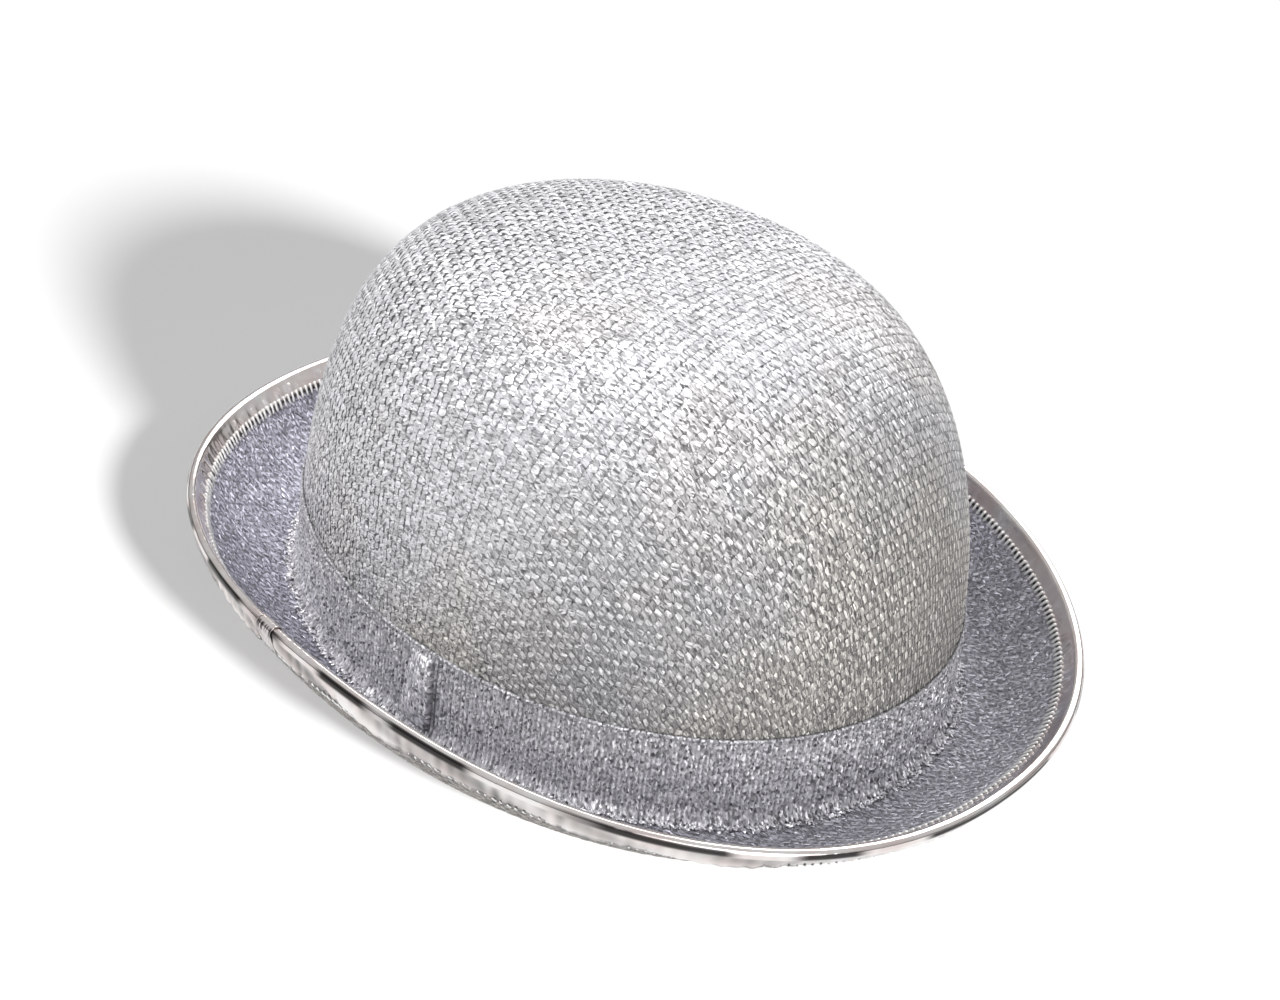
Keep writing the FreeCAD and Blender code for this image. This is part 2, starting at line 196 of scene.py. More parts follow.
class Brim:
    """One face of the brim as a sheet of cloth, a set distance off the board's middle.

    A place (u, v) lies at the plan radius of the head line plus the length along the
    section, in the direction of its angle round the hat.
    """
    ROWS = 61
    COLUMNS = 240

    def __init__(self, offset):
        quarter = np.linspace(0, math.pi / 2, self.ROWS)
        shares = np.linspace(0, 1, self.COLUMNS)
        self.outs, self.ups, self.lengths = [], [], []
        for angle in quarter:
            out, up, slope = section_at(angle, np.linspace(0, 1, 600))
            out = out - offset * np.sin(slope)
            up = up + offset * np.cos(slope)
            run = running_length(np.hypot(np.diff(out), np.diff(up)))
            self.outs.append(np.interp(shares * run[-1], run, out))
            self.ups.append(np.interp(shares * run[-1], run, up))
            self.lengths.append(run[-1])
        self.outs = np.array(self.outs)
        self.ups = np.array(self.ups)
        self.lengths = np.array(self.lengths)
        self.quarter = quarter

    def fold(self, angle):
        """Angle folded into the first quarter, front or back to side."""
        return np.abs(np.arcsin(np.clip(np.sin(angle), -1, 1)))

    def start(self, angle):
        """Distance from the origin of the cloth at which the brim starts."""
        return plan_radius(angle, CROWN_HALF_LENGTH, CROWN_HALF_WIDTH, CROWN_PLAN_POWER)

    def length(self, angle):
        """Length of cloth from the head line out to the wire."""
        return np.interp(self.fold(angle), self.quarter, self.lengths)

    def bare(self, u, v):
        """Points of this face of the brim at cloth places (u, v)."""
        angle = np.arctan2(u, -v)
        run = np.hypot(u, v) - self.start(angle)
        share = run / self.length(angle)
        row = self.fold(angle) / (math.pi / 2) * (self.ROWS - 1)
        column = share * (self.COLUMNS - 1)
        out = lookup(self.outs, row, column) + np.minimum(run, 0)
        up = lookup(self.ups, row, column)
        radius = self.start(angle) + out
        return np.stack([radius * np.sin(angle), -radius * np.cos(angle),
                         BOARD_MIDDLE + up], -1)


def section_points(angle):
    """Control points of the brim's section curve, out from the head line and up."""
    start = plan_radius(angle, CROWN_HALF_LENGTH, CROWN_HALF_WIDTH, CROWN_PLAN_POWER)
    rim = plan_radius(angle, BRIM_HALF_LENGTH, BRIM_HALF_WIDTH, BRIM_PLAN_POWER)
    width = rim - BEAD_RADIUS - start
    side = (1 - math.cos(2 * angle)) / 2
    height = RIM_HEIGHT + RIM_RISE * (2 * side - 1)
    curl = END_CURL + (SIDE_CURL - END_CURL) * side
    handle = CURL_HANDLE * height
    outs = [0, FLAT_HANDLE * width, width - handle * math.cos(curl), width]
    ups = [0, 0, height - handle * math.sin(curl), height]
    return outs, ups, handle


def handle_at(angle):
    """Length of the section curve's end handle, which sets its rate at the wire."""
    return section_points(angle)[2]


def section_at(angle, t):
    """Distance out, height and slope of the section curve at parameters t."""
    outs, ups, _ = section_points(angle)
    weights = [(1 - t) ** 3, 3 * t * (1 - t) ** 2, 3 * t * t * (1 - t), t ** 3]
    rates = [(1 - t) ** 2, 2 * t * (1 - t), t * t]
    out = sum(w * p for w, p in zip(weights, outs))
    up = sum(w * p for w, p in zip(weights, ups))
    run = sum(r * (b - a) for r, a, b in zip(rates, outs, outs[1:]))
    rise = sum(r * (b - a) for r, a, b in zip(rates, ups, ups[1:]))
    return out, up, np.arctan2(rise, run)


def on_cloth(surface, u, v, lift, inward=False):
    """Points of a cloth place (u, v), lifted off the surface along its normal."""
    step = 0.25
    here = surface.bare(u, v)
    along_u = surface.bare(u + step, v) - here
    along_v = surface.bare(u, v + step) - here
    normal = unit(np.cross(along_u, along_v))
    if inward:
        normal = -normal
    return here + normal * np.asarray(lift)[..., None]


# ---- meshes -------------------------------------------------------------------------
def make_mesh(name, points, faces, material, uv=None, tone=None, smooth=True):
    """Mesh object from millimetre points; uv is per point and tone is a grey per point."""
    mesh = bpy.data.meshes.new(name)
    points = np.asarray(points, dtype=float).reshape(-1, 3) * MM
    mesh.from_pydata(points.tolist(), [], [list(map(int, f)) for f in faces])
    mesh.update()
    if smooth:
        mesh.polygons.foreach_set("use_smooth", np.ones(len(mesh.polygons), dtype=bool))
    corners = np.empty(len(mesh.loops), dtype=np.int32)
    mesh.loops.foreach_get("vertex_index", corners)
    if uv is not None:
        layer = mesh.uv_layers.new(name="weave")
        uv = np.asarray(uv, dtype=np.float32).reshape(-1, 2)
        layer.data.foreach_set("uv", uv[corners].ravel())
    if tone is not None:
        shade = mesh.attributes.new("tone", "FLOAT", "POINT")
        shade.data.foreach_set("value", np.asarray(tone, dtype=np.float32).ravel())
    piece = bpy.data.objects.new(name, mesh)
    bpy.context.scene.collection.objects.link(piece)
    mesh.materials.append(material)
    return piece


def grid_faces(rows, columns, closed=True, flip=False):
    """Quads of a grid of rows x columns points; closed joins the last column to the first."""
    i = np.arange(rows - 1)[:, None]
    j = np.arange(columns if closed else columns - 1)[None, :]
    a = i * columns + j
    b = i * columns + (j + 1) % columns
    quads = np.stack(np.broadcast_arrays(a, b, b + columns, a + columns), -1).reshape(-1, 4)
    return quads[:, ::-1] if flip else quads


def strip_mesh(name, rows, material, uv=None, tone=None, closed=True):
    """Solid strip: rows go once round its section, outer face first, then the inner face.

    Each row runs along the strip, which is a closed ring or has two flat ends.
    """
    rows = np.asarray(rows, dtype=float)
    total, count = rows.shape[:2]
    looped = np.arange(total * count).reshape(total, count)
    looped = np.concatenate([looped, looped[:1]])
    faces = [looped.ravel()[quad] for quad in grid_faces(total + 1, count, closed)]
    if not closed:
        for i in range(total // 2 - 1):
            cap = looped[[i, i + 1, total - 2 - i, total - 1 - i]]
            faces += [cap[:, 0], cap[::-1, -1]]
    return make_mesh(name, rows, faces, material, uv, tone)


# ---- materials ----------------------------------------------------------------------
def set_stops(ramp, stops):
    """Grey colour ramp through (position, grey) stops."""
    elements = ramp.color_ramp.elements
    while len(elements) < len(stops):
        elements.new(0.5)
    for element, (position, grey) in zip(elements, stops):
        element.position = position
        element.color = (grey, grey, grey, 1)


def darker(tint, share):
    """A share of a tint's brightness."""
    return (tint[0] * share, tint[1] * share, tint[2] * share, 1)


class Graph:
    """Short way to write a material's nodes."""

    def __init__(self, name):
        self.material = bpy.data.materials.new(name)
        self.material.use_nodes = True
        self.tree = self.material.node_tree
        self.shader = self.tree.nodes["Principled BSDF"]

    def link(self, value, socket):
        """Feed a socket from another node's output, or set it to a plain value."""
        if hasattr(value, "is_output"):
            self.tree.links.new(value, socket)
        else:
            socket.default_value = value

    def node(self, kind, settings=None, **inputs):
        """New node, with its settings and its inputs by name."""
        made = self.tree.nodes.new(kind)
        for key, value in (settings or {}).items():
            setattr(made, key, value)
        for key, value in inputs.items():
            self.link(value, made.inputs[key.replace("_", " ")])
        return made

    def math(self, operation, a, b=0.0):
        made = self.tree.nodes.new("ShaderNodeMath")
        made.operation = operation
        self.link(a, made.inputs[0])
        self.link(b, made.inputs[1])
        return made.outputs[0]

    def mix(self, factor, a, b, blend="MIX"):
        made = self.tree.nodes.new("ShaderNodeMix")
        made.data_type = "RGBA"
        made.blend_type = blend
        self.link(factor, made.inputs["Factor"])
        self.link(a, made.inputs["A"])
        self.link(b, made.inputs["B"])
        return made.outputs["Result"]

    def ramp(self, value, stops):
        """Value turned to grey through (position, grey) stops."""
        made = self.tree.nodes.new("ShaderNodeValToRGB")
        set_stops(made, stops)
        self.link(value, made.inputs["Fac"])
        return made.outputs["Color"]

    def weave(self, across, along):
        """Cloth coordinates in units of a fleck: across and along are its millimetres."""
        place = self.node("ShaderNodeUVMap", {"uv_map": "weave"}).outputs["UV"]
        made = self.node("ShaderNodeMapping", Vector=place)
        made.inputs["Scale"].default_value = (1 / across, 1 / along, 1)
        return made.outputs["Vector"]

    def place(self, scale):
        """Object coordinates, with a number of repeats to the metre."""
        made = self.node("ShaderNodeTexCoord")
        move = self.node("ShaderNodeMapping", Vector=made.outputs["Object"])
        move.inputs["Scale"].default_value = (scale, scale, scale)
        return move.outputs["Vector"]

    def noise(self, vector, scale=1.0, detail=2.0, roughness=0.5):
        made = self.node("ShaderNodeTexNoise", Vector=vector, Scale=scale, Detail=detail,
                         Roughness=roughness)
        return made.outputs["Fac"]

    def flecks(self, vector):
        """Random colour of each little cell, its grey, and distance from its middle."""
        made = self.node("ShaderNodeTexVoronoi", {"feature": "F1"}, Vector=vector, Scale=1.0)
        split = self.node("ShaderNodeSeparateColor", Color=made.outputs["Color"])
        return made.outputs["Color"], split.outputs[0], made.outputs["Distance"]

    def glints(self, color, spread):
        """Surface normal, tilted at random for each fleck."""
        centred = self.vector("SUBTRACT", color, (0.5, 0.5, 0.5))
        tilt = self.node("ShaderNodeVectorMath", {"operation": "SCALE"}, Scale=spread)
        self.link(centred, tilt.inputs[0])
        normal = self.node("ShaderNodeNewGeometry").outputs["Normal"]
        return self.vector("NORMALIZE", self.vector("ADD", normal, tilt.outputs[0]))

    def vector(self, operation, a, b=None):
        made = self.node("ShaderNodeVectorMath", {"operation": operation})
        self.link(a, made.inputs[0])
        if b is not None:
            self.link(b, made.inputs[1])
        return made.outputs["Vector"]

    def bump(self, height, distance, strength=1.0, normal=None):
        made = self.node("ShaderNodeBump", Height=height, Distance=distance * MM,
                         Strength=strength)
        if normal is not None:
            self.link(normal, made.inputs["Normal"])
        return made.outputs["Normal"]

    def finish(self, color, roughness, normal=None, metallic=None):
        """Join the results to the shader and give the material."""
        self.link(color, self.shader.inputs["Base Color"])
        self.link(roughness, self.shader.inputs["Roughness"])
        if metallic is not None:
            self.link(metallic, self.shader.inputs["Metallic"])
        if normal is not None:
            self.link(normal, self.shader.inputs["Normal"])
        return self.material


def lurex(name, cool, warm, depth, fleck, spread, shades, metallic=0.7):
    """Metallised yarn: flat filaments that lie along the yarn and catch the light.

    cool and warm are the tints that drift over the cloth, warmer low down and to the
    back.  depth is the dark between filaments, and the colour that the painted shade in
    the tone attribute goes to; fleck is the width and length of a filament's glint in
    millimetres, and shades are the stops from its darkest filaments to its brightest:
    the yarn's uneven colour together with painted glint.
    """
    g = Graph(name)
    color, grey, _ = g.flecks(g.weave(*fleck))
    _, fine, _ = g.flecks(g.weave(fleck[0] * 0.55, fleck[1] * 0.6))
    # Random grey of each filament in the base colour: the yarn's uneven colour and painted glint.
    filament_grey_and_glint = g.ramp(grey, shades)
    lines = g.ramp(fine, [(0.0, 0.6), (0.3, 0.92), (1.0, 1.0)])
    # tone is a grey per point from the meshes and carries painted shade: low legs, holes, rib
    # valleys, the join's shadow line and the foil's creases.
    tone = g.node("ShaderNodeAttribute", {"attribute_name": "tone"}).outputs["Fac"]
    level = g.math("MULTIPLY", g.math("MULTIPLY", filament_grey_and_glint, lines), tone)
    cloud = g.noise(g.place(22.0), 1.0, 2.0)
    spot = g.node("ShaderNodeSeparateXYZ", Vector=g.place(1.0))
    back = g.math("MULTIPLY", spot.outputs["Y"], 2.6)
    low = g.math("MULTIPLY", spot.outputs["Z"], -1.5)
    drift = g.ramp(g.math("ADD", cloud, g.math("ADD", back, low)), [(0.38, 0.0), (0.68, 1.0)])
    g.link(g.ramp(grey, [(0.0, 0.15 * metallic), (0.5, 0.5 * metallic), (1.0, metallic)]),
           g.shader.inputs["Metallic"])
    return g.finish(g.mix(level, depth, g.mix(drift, cool, warm)),
                    g.ramp(grey, [(0.0, 0.55), (1.0, 0.3)]), g.glints(color, spread))


def foil(name):
    """Mirror foil on a cloth backing: bright, a little rosy where it is scuffed."""
    g = Graph(name)
    dents = g.noise(g.place(160.0), 1.0, 2.0, 0.5)
    scuffs = g.noise(g.place(90.0), 1.0, 3.0)
    tint = g.mix(g.ramp(scuffs, [(0.4, 0.0), (0.65, 1.0)]),
                 (0.74, 0.66, 0.64, 1), (0.86, 0.84, 0.83, 1))
    tone = g.node("ShaderNodeAttribute", {"attribute_name": "tone"}).outputs["Fac"]
    # tone paints shade: near black in the creases and folds that the tape mesh marks.
    color = g.mix(tone, (0.02, 0.018, 0.018, 1), tint)
    return g.finish(color, g.ramp(scuffs, [(0.35, 0.2), (0.65, 0.1)]), g.bump(dents, 0.2), 1.0)


def thread_material(name, tint):
    """Twisted thread with a dull sheen."""
    g = Graph(name)
    twist = g.noise(g.place(1500.0), 1.0, 2.0)
    color = g.mix(twist, darker(tint, 0.6), tint)
    return g.finish(color, 0.45, g.bump(twist, 0.08), 0.5)


def felt_material(name, tint):
    """Stiffened felt and buckram: matt, speckled, a little uneven."""
    g = Graph(name)
    hairs = g.noise(g.place(1300.0), 1.0, 4.0, 0.7)
    cloud = g.noise(g.place(60.0), 1.0, 2.0)
    speck = g.math("MULTIPLY", g.ramp(hairs, [(0.3, 0.5), (0.7, 1.0)]),
                   g.ramp(cloud, [(0.3, 0.8), (0.7, 1.0)]))
    color = g.mix(speck, darker(tint, 0.45), tint)
    return g.finish(color, 0.9, g.bump(hairs, 0.15))


def wire_material(name):
    """Drawn steel wire, with fine scratches."""
    g = Graph(name)
    scratches = g.noise(g.place(2500.0), 1.0, 3.0, 0.7)
    color = g.mix(scratches, (0.38, 0.38, 0.4, 1), (0.72, 0.72, 0.74, 1))
    return g.finish(color, g.ramp(scratches, [(0.3, 0.4), (0.7, 0.22)]),
                    g.bump(scratches, 0.03), 1.0)


def leather_material(name, tint):
    """Soft leatherette: pebbled grain, with painted shade in its creases and a random cloud."""
    g = Graph(name)
    _, _, pebble = g.flecks(g.place(850.0))
    cloud = g.noise(g.place(45.0), 1.0, 3.0)
    grain = g.ramp(pebble, [(0.1, 1.0), (0.65, 0.35)])
    shade_and_cloud = g.math("MULTIPLY", grain, g.ramp(cloud, [(0.3, 0.75), (0.7, 1.0)]))
    color = g.mix(shade_and_cloud, darker(tint, 0.35), tint)
    return g.finish(color, g.ramp(pebble, [(0.1, 0.5), (0.6, 0.38)]), g.bump(grain, 0.12))


def satin_material(name, tint):
    """Lining satin: long floats across the cloth, with a soft sheen."""
    g = Graph(name)
    floats = g.noise(g.weave(1.4, 0.16), 1.0, 3.0, 0.6)
    cloud = g.noise(g.place(35.0), 1.0, 2.0)
    level = g.math("MULTIPLY", g.ramp(floats, [(0.3, 0.72), (0.7, 1.0)]),
                   g.ramp(cloud, [(0.3, 0.88), (0.7, 1.0)]))
    color = g.mix(level, darker(tint, 0.3), tint)
    g.shader.inputs["Sheen Weight"].default_value = 0.3
    g.shader.inputs["Anisotropic"].default_value = 0.5
    return g.finish(color, g.ramp(floats, [(0.3, 0.42), (0.7, 0.3)]),
                    g.bump(floats, 0.05), 0.15)


BRIGHT = ((0.0, 0.12), (0.25, 0.5), (0.5, 1.0), (1.0, 1.0))
MIXED = ((0.0, 0.08), (0.25, 0.4), (0.5, 0.9), (1.0, 1.0))
GROUND = ((0.0, 0.2), (0.5, 0.6), (1.0, 1.0))
CROWN_LEG = lurex("crown_lurex", (0.74, 0.735, 0.765, 1), (0.78, 0.75, 0.71, 1),
                  (0.1, 0.098, 0.1, 1), (0.45, 1.5), 0.9, BRIGHT, 0.5)
# The ground skins are darker than the stitches: painted shade in the gaps between the legs.
CROWN_GROUND = lurex("crown_ground", (0.5, 0.5, 0.52, 1), (0.5, 0.48, 0.45, 1),
                     (0.04, 0.04, 0.042, 1), (0.45, 1.3), 1.0, GROUND)
BRIM_LEG = lurex("brim_lurex", (0.6, 0.59, 0.7, 1), (0.58, 0.57, 0.64, 1),
                 (0.07, 0.068, 0.08, 1), (0.36, 1.7), 1.2, MIXED)
# Brim ground: darker than its stitches, as painted shade in the gaps.
BRIM_GROUND = lurex("brim_ground", (0.42, 0.41, 0.47, 1), (0.42, 0.41, 0.43, 1),
                    (0.04, 0.04, 0.05, 1), (0.4, 1.5), 1.0, GROUND)
UNDER_LEG = lurex("under_lurex", (0.5, 0.47, 0.44, 1), (0.46, 0.43, 0.4, 1),
                  (0.05, 0.045, 0.04, 1), (0.4, 1.6), 1.0, MIXED)
BAND_MATERIAL = lurex("band_lurex", (0.98, 0.965, 1.0, 1), (0.96, 0.95, 0.99, 1),
                      (0.13, 0.128, 0.14, 1), (0.48, 0.8), 1.3, MIXED, 0.6)
FOIL = foil("mirror_foil")
THREAD_MATERIAL = thread_material("grey_thread", (0.78, 0.78, 0.8, 1))
SILVER_THREAD = thread_material("silver_thread", (0.95, 0.94, 0.93, 1))
FELT = felt_material("stiffened_felt", (0.5, 0.5, 0.48, 1))
WIRE = wire_material("drawn_wire")
LEATHER = leather_material("dark_leatherette", (0.2, 0.2, 0.21, 1))
SATIN = satin_material("lining_satin", (0.78, 0.78, 0.8, 1))
TWILL = felt_material("seam_twill", (0.3, 0.3, 0.31, 1))
LABEL_SATIN = satin_material("label_satin", (0.93, 0.93, 0.92, 1))


# ---- knit ---------------------------------------------------------------------------
# A stitch leg: (share of its length, share of its width, share of its height).
LEG_POINTS = [(-0.5, -0.34, 0.35), (-0.5, 0.34, 0.35),
              (-0.3, -0.5, 0.55), (-0.3, 0.0, 1.0), (-0.3, 0.5, 0.55),
              (0.3, -0.5, 0.55), (0.3, 0.0, 1.0), (0.3, 0.5, 0.55),
              (0.5, -0.34, 0.35), (0.5, 0.34, 0.35)]
LEG_FACES = [(2, 5, 6, 3), (3, 6, 7, 4), (2, 4, 7, 5),
             (0, 2, 3), (0, 3, 1), (1, 3, 4), (0, 1, 4, 2),
             (8, 6, 5), (8, 9, 6), (9, 7, 6), (8, 5, 7, 9)]


def lay_legs(name, surface, u, v, turn, length, width, height, tone, low, material,
             inward=False):
    """Closed bars laid on the cloth, one for each entry of the arrays."""
    along = np.stack([np.cos(turn), np.sin(turn)], -1)
    across = np.stack([-np.sin(turn), np.cos(turn)], -1)
    points, uvs = [], []
    for step, side, lift in LEG_POINTS:
        place = along * (step * length)[:, None] + across * (side * width)[:, None]
        points.append(on_cloth(surface, u + place[:, 0], v + place[:, 1],
                               low + lift * height, inward))
        uvs.append(np.stack([side * width + u * 7.31, step * length + v * 5.17], -1))
    base = np.arange(len(u))[:, None] * len(LEG_POINTS)
    faces = []
    for face in LEG_FACES:
        faces.extend((base + np.array(face[::-1] if inward else face)).tolist())
    return make_mesh(name, np.stack(points, 1), faces, material, np.stack(uvs, 1),
                     np.repeat(tone, len(LEG_POINTS)), smooth=False)


def knit_legs(name, surface, column_pitch, row_pitch, grain, keep, height, material, seed,
              lean=0.16, inward=False, proud=None, messy=None, opened=None):
    """Stitch legs of a knit, in columns and rows.

    Every second leg stands proud, bright and long; the legs between lie lower and shorter,
    and painted shade makes them darker.  The next row is set over by one leg.
    keep(u, v) says which places have cloth, messy(u, v) how uneven it is, opened(u, v)
    gives how far it has holes and how far its legs have parted, and proud picks only the
    proud legs or only the low ones.
    """
    random = np.random.default_rng(seed)
    reach = 230.0
    columns = np.arange(-int(reach / column_pitch), int(reach / column_pitch) + 1)
    rows = np.arange(-int(reach / row_pitch), int(reach / row_pitch) + 1)
    column, row = [a.ravel() for a in np.meshgrid(columns, rows)]
    high = (column + row) % 2 == 0
    count = len(column)
    scatter = random.normal(0, 1, (6, count))
    level = random.random(count) ** 2
    u = column * column_pitch * math.cos(grain) - row * row_pitch * math.sin(grain)
    v = column * column_pitch * math.sin(grain) + row * row_pitch * math.cos(grain)
    chosen = keep(u, v) & (True if proud is None else high == proud)
    column, row, high, level, u, v = [a[chosen] for a in (column, row, high, level, u, v)]
    scatter = scatter[:, chosen]
    mess = 1.0 if messy is None else messy(u, v)
    hole, parted = (0.3, 0.4) if opened is None else opened(u, v)
    u = u + 0.045 * mess * scatter[0] * column_pitch
    v = v + 0.045 * mess * scatter[1] * row_pitch - np.where(high, 0.0, 0.16 * hole) * row_pitch
    turn = math.pi / 2 + grain + np.where(high, lean, -lean) + 0.13 * mess * scatter[2]
    size = 1 + 0.07 * scatter[3:]
    # Painted shade: the low legs are darker, more so where the legs have parted; level is random
    # tone.
    tone = np.where(high, 1.0, 0.88 - 0.3 * parted) * (1 - 0.3 * level)
    return lay_legs(name, surface, u, v, turn,
                    (np.where(high, 1.0 + 0.12 * hole, 0.96 - 0.38 * hole) - 0.1 * parted)
                    * row_pitch * size[0],
                    (np.where(high, 1.1, 1.04) - 0.34 * parted) * column_pitch * size[1],
                    np.where(high, 1.0, 0.8) * height * size[2], tone, -0.12, material,
                    inward)


def cloth_shell(name, surface, shares, lift, thick, material, inward=False, limit=1.0,
                tone=lambda u, v: np.full_like(u, 0.8)):
    """Closed skin of cloth all round, over shares of the surface's length.

    lift is the distance of its outer face off the surface; limit scales the shares, and
    is one number or one for each angle; tone(u, v) is its grey.
    """
    angle, share = np.meshgrid(ROUND, shares)
    share = share * limit
    run = surface.start(angle) + share * surface.length(angle)
    u, v = run * np.sin(angle), -run * np.cos(angle)
    outer = on_cloth(surface, u, v, lift + np.zeros_like(u), inward)
    inner = on_cloth(surface, u, v, lift - thick + np.zeros_like(u), inward)
    rows = np.concatenate([outer, inner[::-1]])
    uv = np.stack([u, v], -1)
    uv = np.concatenate([uv, uv[::-1]])
    greys = np.concatenate([tone(u, v), tone(u, v)[::-1]])
    if not inward:
        rows, uv, greys = rows[::-1], uv[::-1], greys[::-1]
    return strip_mesh(name, rows, material, uv, greys)


ROUND = np.linspace(0, TURN, 360, endpoint=False)
# Shares of a dome's length, closest at its apex, where the rings draw together.
DOME = np.concatenate([[0.0003, 0.0015, 0.006], np.linspace(0.015, 1, 80)])
GRAIN = math.radians(4.0)
BAND_TOP = BRIM_TOP + BAND_HEIGHT
crown = Crown()
brim_top = Brim(BOARD / 2 + BRIM_KNIT)
brim_under = Brim(-BOARD / 2 - BRIM_KNIT)


def on_crown(u, v):
    """Test for places above the hat band, with a little hidden behind it."""
    return ((np.hypot(u, v) < crown.length(np.arctan2(u, -v)))
            & (crown.bare(u, v)[..., 2] > BAND_TOP - 1.5))


def crown_mess(u, v):
    """The knit is pulled uneven low on the wearer's left, and lies true elsewhere."""
    angle = np.arctan2(u, -v)
    low = smoothstep(60, 150, np.hypot(u, v))
    return 0.6 + 1.5 * low * smoothstep(0.1, 0.9, np.cos(angle - math.radians(80)))


def crown_opened(u, v):
    """Stretched into holes over the top and front, parted in even rows down the back."""
    back = v + 0.35 * u
    return smoothstep(75, -35, back), smoothstep(45, 125, back)


def crown_ground_shade(u, v):
    """Painted shade: the ground is dark under the holes, and pale where the legs have parted."""
    hole, parted = crown_opened(u, v)
    return 0.85 - 0.8 * hole + 0.1 * parted


def on_brim(surface, near, far):
    """Test for places that lie off the head line and short of the edge."""
    def keep(u, v):
        angle = np.arctan2(u, -v)
        run = np.hypot(u, v) - surface.start(angle)
        return (run > near) & (run < surface.length(angle) - far)
    return keep


# Width and length of the cloth that one stitch leg takes up.
CROWN_STITCH = (1.87, 2.72)
BRIM_STITCH = (1.3, 2.25)
UNDER_STITCH = (2.2, 2.8)
EDGE_CLEAR = 5.4            # bare strip of the brim that the tape covers

# Covers: a ground skin, whose dark grey is painted shade between the stitches, and the
# stitches that lie on it.
crown_knit = cloth_shell("crown_knit", crown, DOME, -0.12, 0.4, CROWN_GROUND,
                         tone=crown_ground_shade)
crown_loops = [knit_legs(name, crown, *CROWN_STITCH, GRAIN, on_crown, 0.24, CROWN_LEG, 11,
                         proud=proud, messy=crown_mess, opened=crown_opened)
               for name, proud in (("crown_stitches", True), ("crown_low_stitches", False))]
brim_knit = cloth_shell("brim_top_knit", brim_top, np.linspace(0, 0.97, 40), -0.1, 0.3,
                        BRIM_GROUND)
brim_loops = knit_legs("brim_top_stitches", brim_top, *BRIM_STITCH, -GRAIN,
                       on_brim(brim_top, 1.2, EDGE_CLEAR), 0.16, BRIM_LEG, 12, lean=0.4,
                       messy=lambda u, v: 2.0)
under_knit = cloth_shell("brim_under_knit", brim_under, np.linspace(0, 0.97, 40), -0.1, 0.3,
                         BRIM_GROUND, inward=True)
under_loops = knit_legs("brim_under_stitches", brim_under, *UNDER_STITCH, GRAIN,
                        on_brim(brim_under, 2.5, EDGE_CLEAR), 0.24, UNDER_LEG, 13, lean=0.5,
                        inward=True)


# ---- edge: foil tape, lap and stitches ----------------------------------------------
def edge_point(angle, station, lift):
    """Point on the tape's outer face: stations run from the top edge over the bead.

    A station is (kind, amount): "top" and "under" take a distance short of the wire,
    "bead" takes a turn round the wire in degrees.
    """
    kind, amount = station
    if kind == "bead":
        out, up, slope = section_at(angle, 1.0)
        tilt = slope + math.pi / 2 - math.radians(amount)
        out = out + (BEAD_RADIUS + lift) * math.cos(tilt)
        up = up + (BEAD_RADIUS + lift) * math.sin(tilt)
    else:
        t = 1 - amount / (3 * handle_at(angle))
        out, up, slope = section_at(angle, t)
        offset = (BEAD_RADIUS + lift) * (1 if kind == "top" else -1)
        out = out - offset * math.sin(slope)
        up = up + offset * math.cos(slope)
    radius = out + plan_radius(angle, CROWN_HALF_LENGTH, CROWN_HALF_WIDTH, CROWN_PLAN_POWER)
    return (radius * math.sin(angle), -radius * math.cos(angle), BOARD_MIDDLE + up)


TAPE_TOP = 6.0
TAPE_UNDER = 7.0
STITCH_LINE = 5.0
STITCH_PITCH = 2.1


def wave(random, count, terms, low, high):
    """Smooth closed random wave round the hat, near -1 to 1."""
    angle = np.linspace(0, TURN, count, endpoint=False)
    total = np.zeros(count)
    for _ in range(terms):
        total += np.cos(random.integers(low, high) * angle + random.random() * TURN)
    return total / math.sqrt(terms)


def tape_mesh(name, angles, closed, lift, thick, pucker, seed):
    """Folded foil tape; its top strip is crimped and its underside lies in long folds."""
    random = np.random.default_rng(seed)
    stations = [("top", TAPE_TOP * (1 - i / 8)) for i in range(8)]
    stations += [("bead", 180.0 * i / 12) for i in range(13)]
    stations += [("under", TAPE_UNDER * (i + 1) / 8) for i in range(8)]
    count = len(angles)
    crimp = wave(random, count, 5, 120, 240)
    crimped = 0.35 + 0.65 * smoothstep(-0.2, 0.8, np.cos(np.asarray(angles) - math.radians(18)))
    fold = wave(random, count, 6, 9, 34)
    edge_shift = 0.22 * wave(random, count, 5, 8, 40)
    outer, inner, tone = [], [], []
    for i, (kind, amount) in enumerate(stations):
        shade = np.ones(count)
        if kind == "top":
            free = smoothstep(0.5, 3.0, amount)
            ripple = free * (0.24 * crimped * (crimp + 0.5) + 0.05 * fold)
            # Painted shadow: a dark line along the top strip's inner edge, under the stitches.
            shade = shade - 0.9 * (amount > TAPE_TOP - 1.3)
        elif kind == "under":
            free = smoothstep(0.0, 4.0, amount)
            drawn = np.roll(fold, 4 * i)
            ripple = free * (0.35 + 0.4 * drawn + 0.15 * crimp)
            # Painted shade: the under strip is lighter and darker with its folds, and dark at its
            # edge.
            shade = 0.62 + 0.3 * drawn + 0.12 * crimp - 0.4 * (amount > TAPE_UNDER - 1.0)
        else:
            ripple = np.zeros(count)
            # Painted shade: a dark crease under the bead.
            shade = shade - 0.97 * smoothstep(-0.6, 0.1, fold) * (amount > 110)
        ripple = np.maximum(pucker * ripple, -0.04)
        shift = edge_shift if i in (0, len(stations) - 1) else np.zeros(count)
        for faces, drop in ((outer, 0.0), (inner, thick)):
            faces.append([edge_point(a, (kind, amount + move), lift + rise - drop)
                          for a, move, rise in zip(angles, shift, ripple)])
        tone.append(np.clip(shade, 0.04, 1))
    return strip_mesh(name, outer[::-1] + inner, FOIL, tone=tone[::-1] + tone, closed=closed)


CAPSULE_STATIONS = [(0.0, -0.35, 0.75), (0.12, 0.0, 1.0), (0.88, 0.0, 1.0), (1.0, 0.35, 0.75)]


